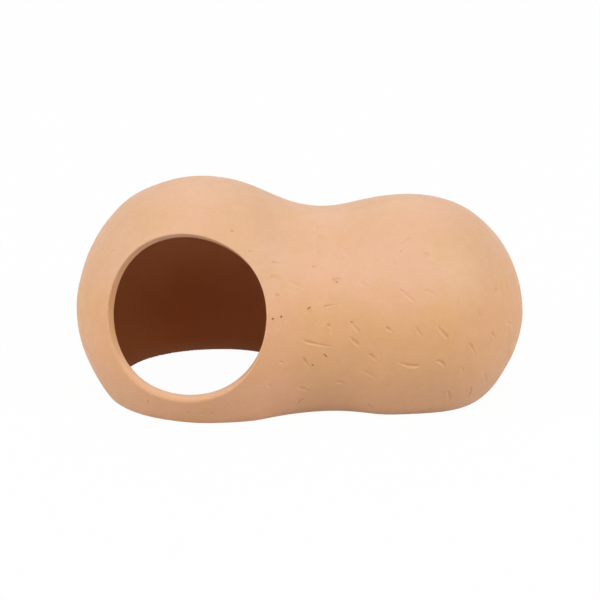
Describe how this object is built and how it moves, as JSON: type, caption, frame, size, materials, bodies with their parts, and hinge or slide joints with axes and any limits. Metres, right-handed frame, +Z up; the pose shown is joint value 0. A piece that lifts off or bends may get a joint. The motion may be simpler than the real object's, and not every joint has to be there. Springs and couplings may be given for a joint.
{
  "type": "small animal house",
  "caption": "Peanut-shaped shelter of fired clay: two joined round lobes with a waist, a thin even wall, an open base and a round entrance in the side of the larger lobe.",
  "frame": {"origin": "centre of the house's length and width, on the ground under the foot rim", "axes": "+Z up, +X along the line through both lobes towards the small lobe, the entrance faces -Y, turned a little towards -X and up"},
  "size_m": [0.14, 0.0814, 0.067],
  "materials": {
    "terracotta": "matte, unglazed"
  },
  "bodies": {
    "root": {"house_shell": "terracotta"}
  },
  "joints": []
}
